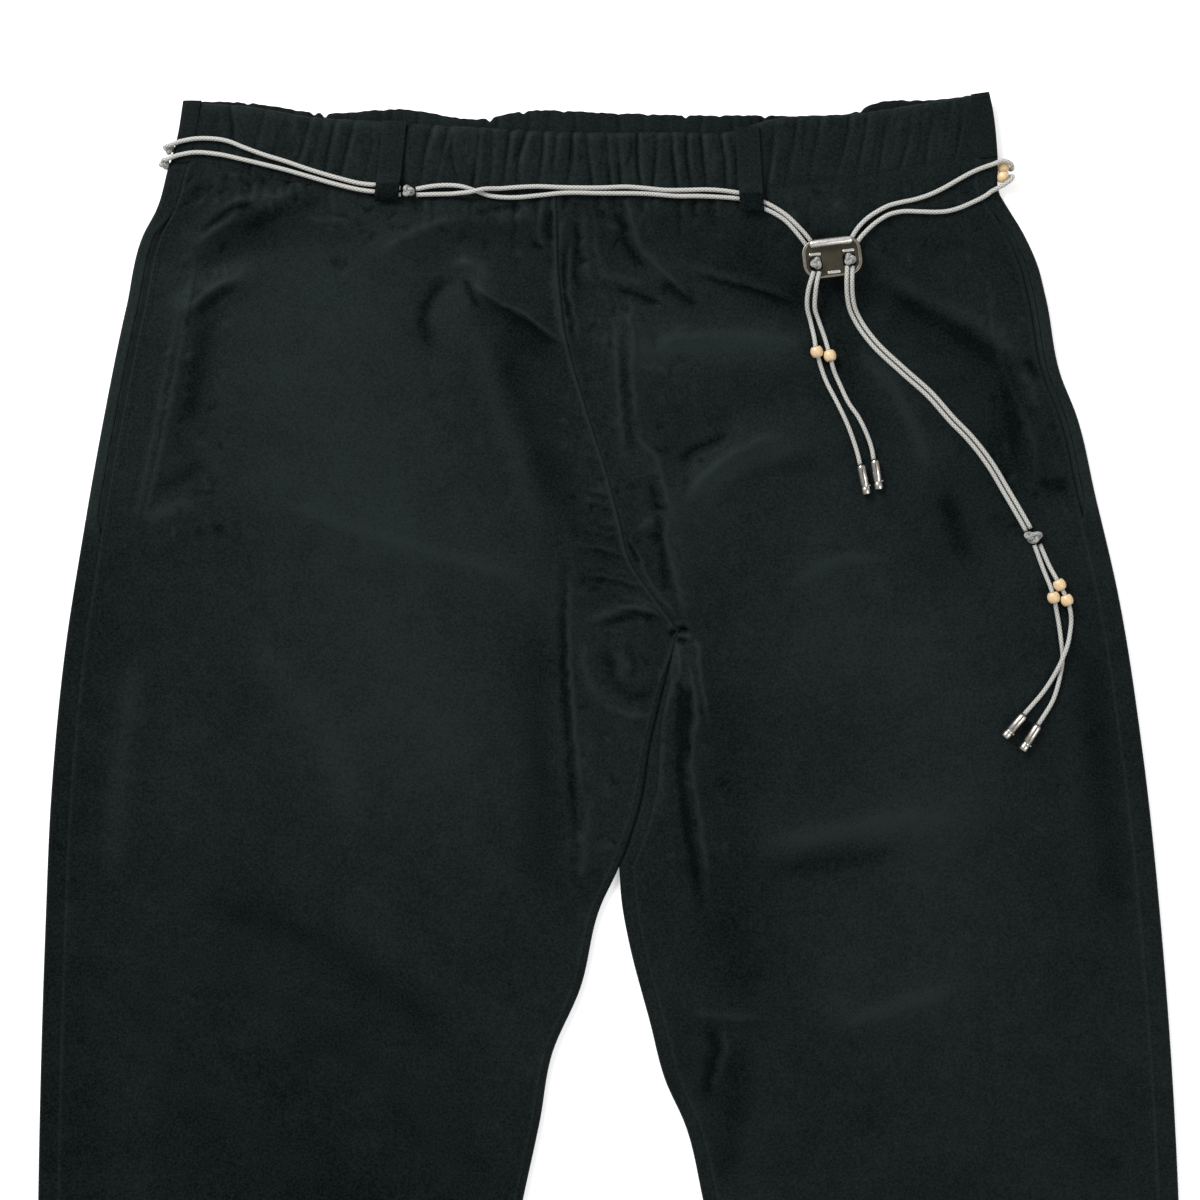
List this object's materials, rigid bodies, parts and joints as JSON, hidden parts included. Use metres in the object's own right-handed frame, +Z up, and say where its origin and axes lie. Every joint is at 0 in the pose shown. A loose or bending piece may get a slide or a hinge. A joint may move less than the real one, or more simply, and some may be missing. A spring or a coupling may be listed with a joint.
{
  "type": "drawstring trousers",
  "caption": "Relaxed black trousers laid flat, with a gathered elastic waist, side pockets, belt loops and a thin cord in a metal cord lock.",
  "frame": {"origin": "middle of the garment's outline, on the surface that it lies on", "axes": "+Z up from the surface, +Y from the hems to the waist, +X towards the wearer's left side"},
  "size_m": [0.5742, 1.0114, 0.0177],
  "materials": {
    "cloth": "black smooth light woven cloth with a soft sheen",
    "cord": "fine grey braided cord",
    "wood": "pale smooth wooden beads",
    "gunmetal": "dark satin metal plate",
    "silver": "worn bright metal"
  },
  "bodies": {
    "root": {"front_right": "cloth", "front_left": "cloth", "back_right": "cloth", "back_left": "cloth", "waistband_front": "cloth", "waistband_back": "cloth", "pocket_facing_right": "cloth", "pocket_facing_left": "cloth", "belt_loop_front_right": "cloth", "belt_loop_front_left": "cloth", "belt_loop_back_1": "cloth", "belt_loop_back_2": "cloth", "belt_loop_back_3": "cloth", "cord_back_upper": "cord", "cord_back_lower": "cord", "cord_right_upper": "cord", "cord_right_lower": "cord", "cord_front_upper": "cord", "cord_front_lower": "cord", "cord_left_upper": "cord", "cord_left_lower": "cord", "cord_tail_upper": "cord", "cord_tail_lower": "cord", "cord_long_inner": "cord", "cord_long_outer": "cord", "cord_end_inner": "cord", "cord_end_outer": "cord", "knot_side_upper": "cord", "knot_side_lower": "cord", "knot_front": "cord", "knot_long": "cord", "knot_lock_right": "cord", "knot_lock_left": "cord", "bead_1": "wood", "bead_2": "wood", "bead_3": "wood", "bead_4": "wood", "bead_5": "wood", "bead_6": "wood", "bead_7": "wood", "lock_plate": "gunmetal", "lock_bar": "silver", "tip_tail_lower": "silver", "tip_tail_upper": "silver", "tip_end_inner": "silver", "tip_end_outer": "silver"}
  },
  "joints": []
}
